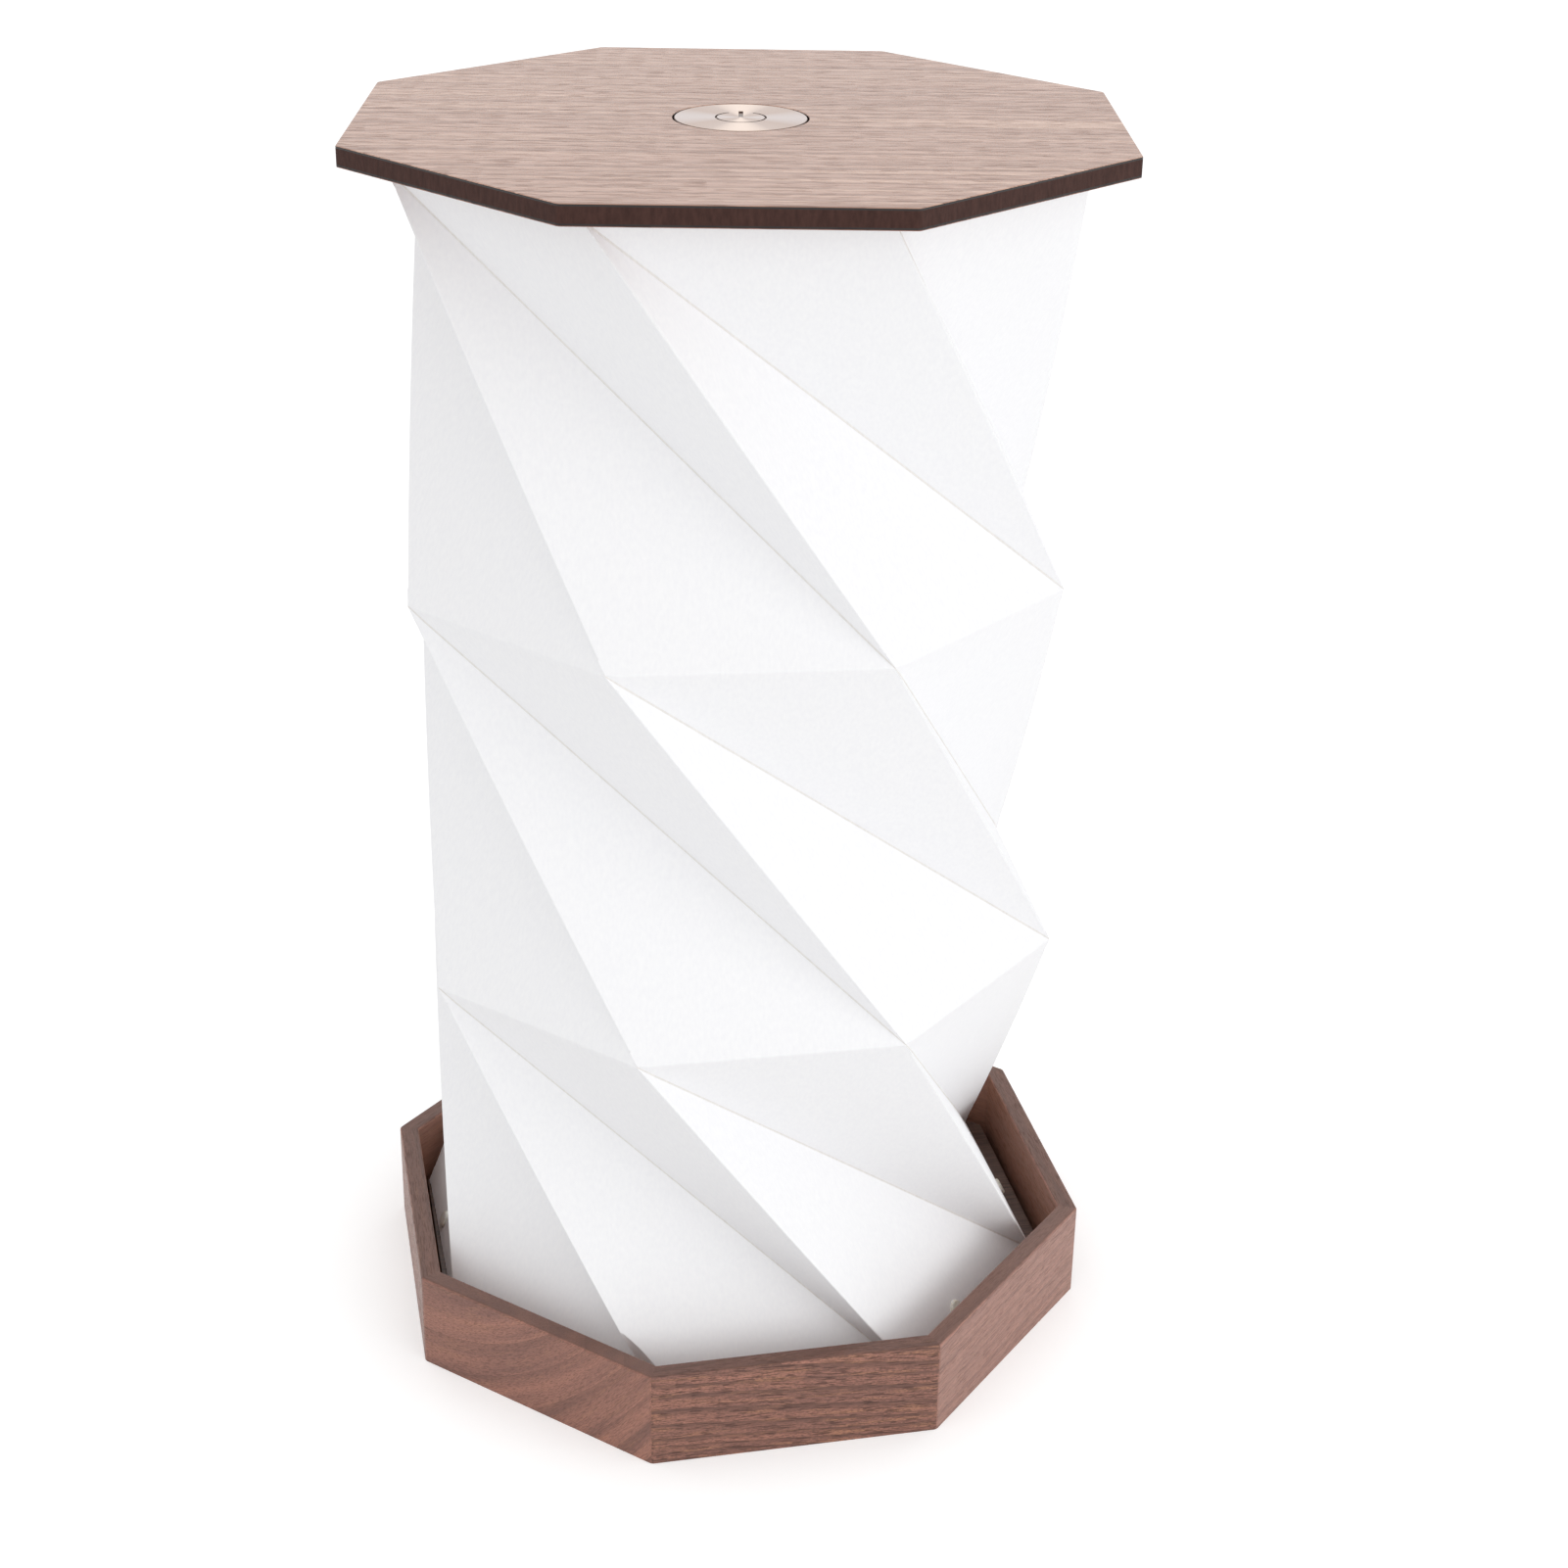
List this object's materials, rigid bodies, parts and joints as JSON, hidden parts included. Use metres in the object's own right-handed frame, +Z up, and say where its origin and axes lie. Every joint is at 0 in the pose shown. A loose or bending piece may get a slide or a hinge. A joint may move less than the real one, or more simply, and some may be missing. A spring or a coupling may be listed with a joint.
{
  "type": "bedside lamp",
  "caption": "Folding octagonal bedside lamp: twist-folded white paper shade between a walnut tray base and a walnut lid with a round metal push button.",
  "frame": {"origin": "under the middle of the tray, on the surface that the lamp stands on", "axes": "+Z up the lamp, -Y the front, +Y the side with the charging port"},
  "size_m": [0.159, 0.159, 0.266],
  "materials": {
    "walnut_rim": "satin",
    "walnut_lid": "satin",
    "lid_core": "satin",
    "floor_board": "matte",
    "felt": "matte",
    "brown_plate": "satin",
    "standoff_metal": "satin",
    "screw_steel": "satin",
    "battery_pouch": "satin",
    "wire_jacket": "satin",
    "circuit_board": "satin",
    "chip_plastic": "matte",
    "port_steel": "satin",
    "light_board": "satin",
    "led_phosphor": "satin",
    "opal_plastic": "satin",
    "rubber": "matte",
    "shade_paper": "matte",
    "lead_jacket": "satin",
    "card": "matte",
    "housing_plastic": "matte",
    "rivet_plastic": "satin",
    "button_metal": "satin"
  },
  "bodies": {
    "base": {"rim_right": "walnut_rim", "rim_rear_right": "walnut_rim", "rim_rear": "walnut_rim", "rim_rear_left": "walnut_rim", "rim_left": "walnut_rim", "rim_front_left": "walnut_rim", "rim_front": "walnut_rim", "rim_front_right": "walnut_rim", "tray_floor": "floor_board", "base_pad": "felt", "cover_plate": "brown_plate", "cover_standoffs": "standoff_metal", "cover_screws": "screw_steel", "battery": "battery_pouch", "battery_wires": "wire_jacket", "charge_board": "circuit_board", "board_chips": "chip_plastic", "charge_port": "port_steel", "port_tongue": "chip_plastic", "led_wires": "wire_jacket", "led_board": "light_board", "leds": "led_phosphor", "led_screws": "screw_steel", "led_diffuser": "opal_plastic", "lower_grommet": "rubber", "foot_rivets": "rivet_plastic"},
    "shade": {"folded_shade": "shade_paper", "switch_lead": "lead_jacket"},
    "lid": {"shade_top_board": "card", "lid_veneer_bottom": "walnut_lid", "lid_core": "lid_core", "lid_veneer_top": "walnut_lid", "button_housing": "housing_plastic", "housing_screws": "screw_steel", "switch_board": "circuit_board", "push_switch": "chip_plastic", "upper_grommet": "rubber"},
    "button": {"button_cap": "button_metal", "switch_plunger": "opal_plastic"}
  },
  "joints": [
    {"name": "shade_fold", "type": "slide", "parent": "base", "child": "shade", "axis": [0, 0, -1], "range_m": [0, 0.2393], "deforming": ["folded_shade", "switch_lead"]},
    {"name": "lid_twist", "type": "hinge", "parent": "shade", "child": "lid", "pos_m": [0, 0, 0.262], "axis": [0, 0, 1], "range_deg": [-124.05, 0]},
    {"name": "button_press", "type": "slide", "parent": "lid", "child": "button", "axis": [0, 0, -1], "range_m": [0, 0.0006], "stiffness_N_per_m": 2000, "springref_m": -0.0005}
  ],
  "couplings": [
    {"joint": "lid_twist", "follows": "shade_fold", "rad_per_m": -9.0439}
  ]
}
